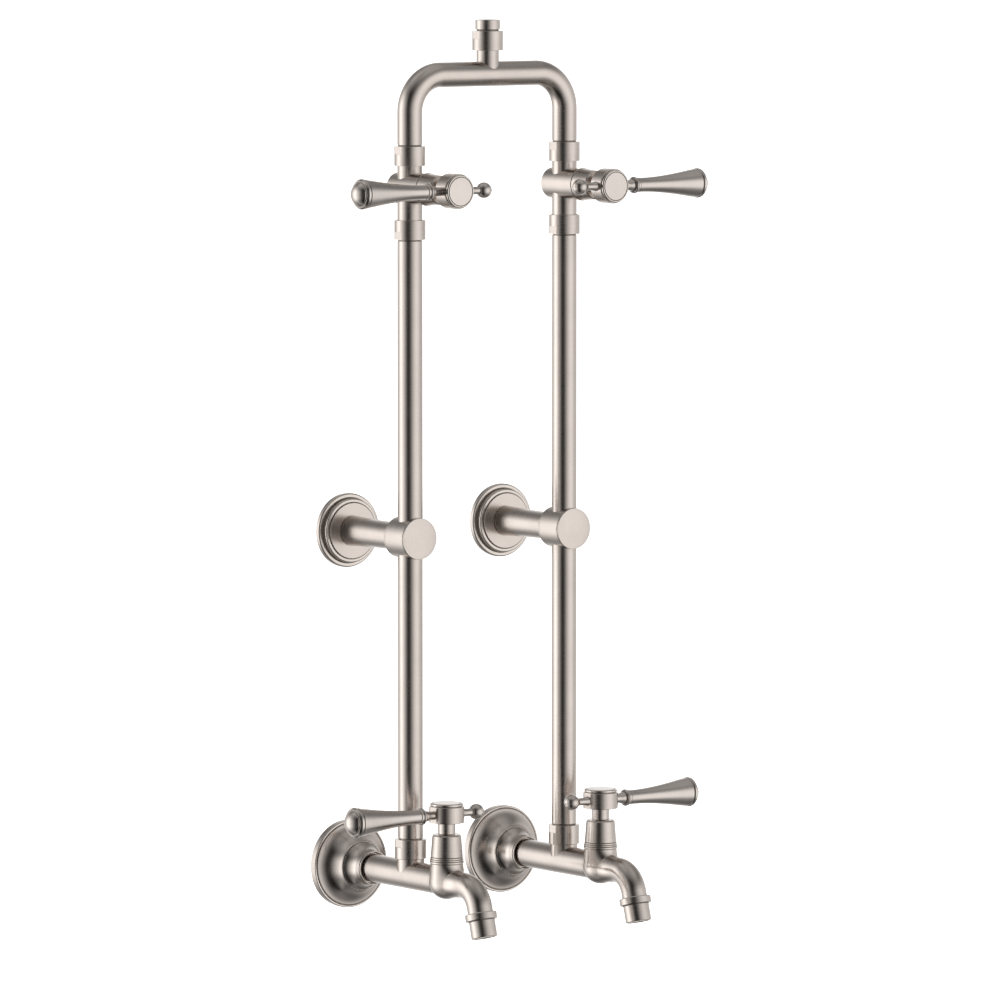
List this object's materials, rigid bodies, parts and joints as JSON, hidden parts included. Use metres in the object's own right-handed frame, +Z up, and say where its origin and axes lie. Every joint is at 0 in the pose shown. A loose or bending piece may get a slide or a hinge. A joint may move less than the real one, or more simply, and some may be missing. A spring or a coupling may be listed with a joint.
{
  "type": "exposed shower column",
  "caption": "Exposed twin-riser shower column with lever taps and spouts, stop valves, wall brackets and a bridge with a take-off for an overhead rain arm.",
  "frame": {"origin": "on the finished wall, midway between the axes of the hot and cold inlets", "axes": "+X along the wall from the hot side to the cold side, -Y straight out of the wall, +Z up along the risers"},
  "size_m": [0.4536, 0.276, 0.9431],
  "materials": {
    "satin_nickel": "satin warm nickel plating",
    "brass": "bare machined brass",
    "ceramic": "lapped alumina ceramic",
    "rubber": "moulded rubber",
    "fibre": "pressed fibre sheet",
    "aerator_plastic": "moulded plastic"
  },
  "bodies": {
    "column": {"hot_wall_flange": "satin_nickel", "cold_wall_flange": "satin_nickel", "hot_inlet_tee": "satin_nickel", "cold_inlet_tee": "satin_nickel", "inlet_nipples": "brass", "hot_tap_body": "satin_nickel", "cold_tap_body": "satin_nickel", "hot_outlet": "satin_nickel", "cold_outlet": "satin_nickel", "aerators": "aerator_plastic", "outlet_washers": "rubber", "hot_tap_bonnet": "satin_nickel", "cold_tap_bonnet": "satin_nickel", "hot_valve_bonnet": "satin_nickel", "cold_valve_bonnet": "satin_nickel", "cartridges": "brass", "fixed_discs": "ceramic", "cartridge_seals": "rubber", "hot_riser": "satin_nickel", "cold_riser": "satin_nickel", "hot_valve_body": "satin_nickel", "cold_valve_body": "satin_nickel", "bridge_tube": "satin_nickel", "top_tail": "satin_nickel", "union_nuts": "satin_nickel", "union_washers": "fibre", "hot_bracket_flange": "satin_nickel", "cold_bracket_flange": "satin_nickel", "hot_bracket_arm": "satin_nickel", "cold_bracket_arm": "satin_nickel", "bracket_caps": "satin_nickel", "grub_screws": "brass"},
    "hot_tap_handle": {"hot_tap_spindle": "brass", "hot_tap_disc": "ceramic", "hot_tap_hub": "satin_nickel", "hot_tap_screw": "brass", "hot_tap_index": "satin_nickel", "hot_tap_lever": "satin_nickel", "hot_tap_finial": "satin_nickel"},
    "cold_tap_handle": {"cold_tap_spindle": "brass", "cold_tap_disc": "ceramic", "cold_tap_hub": "satin_nickel", "cold_tap_screw": "brass", "cold_tap_index": "satin_nickel", "cold_tap_lever": "satin_nickel", "cold_tap_finial": "satin_nickel"},
    "hot_valve_handle": {"hot_valve_spindle": "brass", "hot_valve_disc": "ceramic", "hot_valve_hub": "satin_nickel", "hot_valve_screw": "brass", "hot_valve_index": "satin_nickel", "hot_valve_lever": "satin_nickel", "hot_valve_finial": "satin_nickel"},
    "cold_valve_handle": {"cold_valve_spindle": "brass", "cold_valve_disc": "ceramic", "cold_valve_hub": "satin_nickel", "cold_valve_screw": "brass", "cold_valve_index": "satin_nickel", "cold_valve_lever": "satin_nickel", "cold_valve_finial": "satin_nickel"}
  },
  "joints": [
    {"name": "hot_tap_turn", "type": "hinge", "parent": "column", "child": "hot_tap_handle", "pos_m": [-0.1, -0.179, 0.07], "axis": [0, 0, 1], "range_deg": [0, 90]},
    {"name": "cold_tap_turn", "type": "hinge", "parent": "column", "child": "cold_tap_handle", "pos_m": [0.1, -0.179, 0.07], "axis": [0, 0, 1], "range_deg": [-90, 0]},
    {"name": "hot_valve_turn", "type": "hinge", "parent": "column", "child": "hot_valve_handle", "pos_m": [-0.1, -0.1924, 0.7154], "axis": [0, -1, 0], "range_deg": [0, 90]},
    {"name": "cold_valve_turn", "type": "hinge", "parent": "column", "child": "cold_valve_handle", "pos_m": [0.1, -0.1924, 0.7154], "axis": [0, -1, 0], "range_deg": [-90, 0]}
  ]
}
